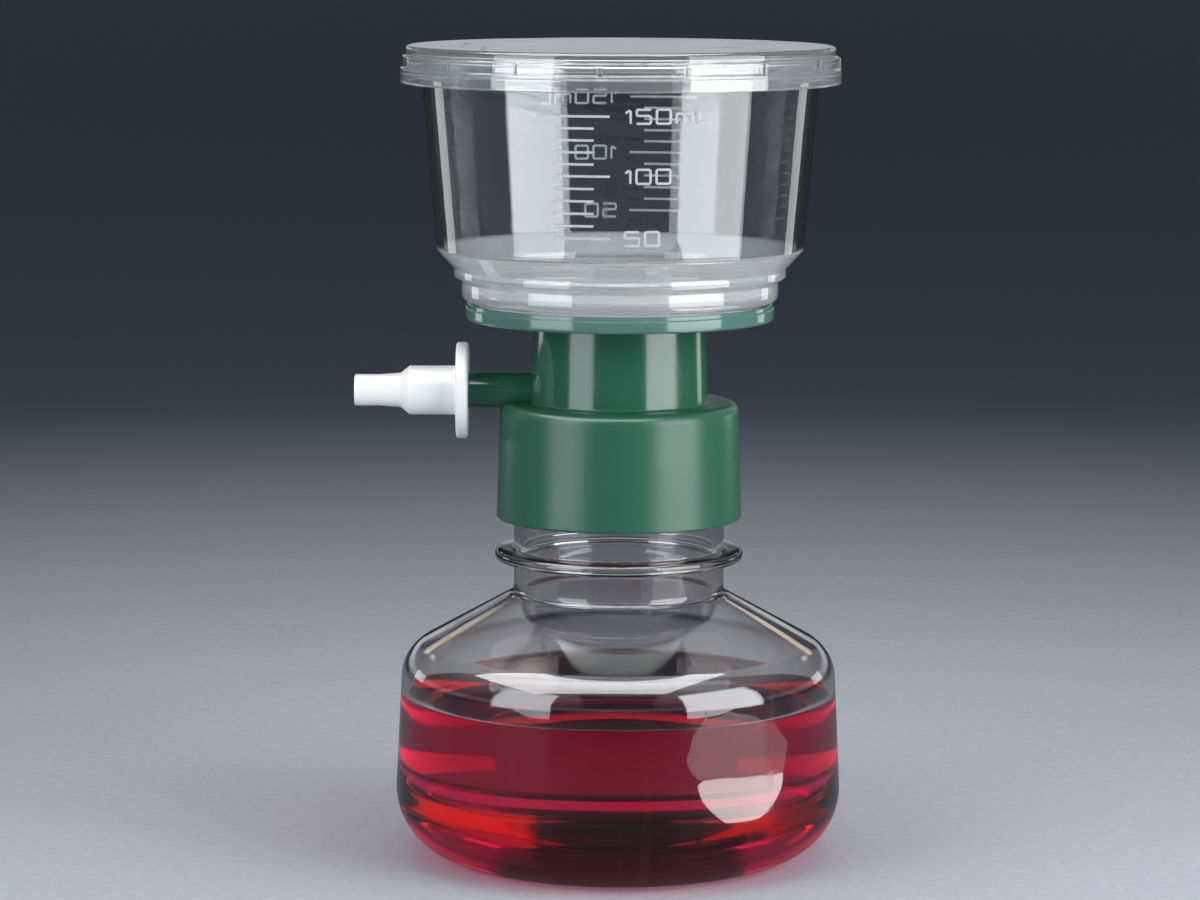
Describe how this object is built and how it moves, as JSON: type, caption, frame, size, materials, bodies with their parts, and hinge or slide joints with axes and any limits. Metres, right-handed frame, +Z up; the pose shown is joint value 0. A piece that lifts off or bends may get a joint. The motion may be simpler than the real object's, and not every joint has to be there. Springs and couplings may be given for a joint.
{
  "type": "vacuum filtration unit",
  "caption": "Clear covered chamber on a membrane filter holder with a vacuum hose arm, screwed onto a clear receiver bottle that collects the filtrate.",
  "frame": {"origin": "on the unit's axis, at the level of the ring that the receiver bottle stands on", "axes": "+Z up along the unit's axis, -X out along the hose nozzle"},
  "size_m": [0.0965, 0.0884, 0.1608],
  "materials": {
    "clear_bottle": "clear polystyrene, polished",
    "red_filtrate": "clear deep red culture medium, wet",
    "gasket_rubber": "matt silicone",
    "green_plastic": "satin dark green moulded plastic",
    "membrane_white": "smooth matt filter membrane",
    "clear_chamber": "clear polystyrene, polished, with pale graduations",
    "clear_lid": "clear polystyrene, polished",
    "cotton_wadding": "white cotton wadding",
    "white_plastic": "white polypropylene, slightly satin"
  },
  "bodies": {
    "receiver": {"receiver_bottle": "clear_bottle", "filtrate": "red_filtrate"},
    "neck_seal": {"neck_gasket": "gasket_rubber"},
    "filter_head": {"filter_holder": "green_plastic", "membrane": "membrane_white", "upper_chamber": "clear_chamber", "side_arm_plug": "cotton_wadding"},
    "cover": {"lid": "clear_lid"},
    "hose_adapter": {"tubing_adapter": "white_plastic"}
  },
  "joints": [
    {"name": "head_lift", "type": "slide", "parent": "receiver", "child": "neck_seal", "axis": [0, 0, 1], "range_m": [0, 0.0095]},
    {"name": "head_turn", "type": "hinge", "parent": "neck_seal", "child": "filter_head", "pos_m": [0, 0, 0.08747], "axis": [0, 0, 1], "range_deg": [0, 810]},
    {"name": "lid_pull", "type": "slide", "parent": "filter_head", "child": "cover", "axis": [0, 0, 1], "range_m": [0, 0.03]},
    {"name": "adapter_pull", "type": "slide", "parent": "filter_head", "child": "hose_adapter", "axis": [-1, 0, 0], "range_m": [0, 0.015]}
  ],
  "couplings": [
    {"joint": "head_lift", "follows": "head_turn", "m_per_rad": 0.00066845}
  ]
}
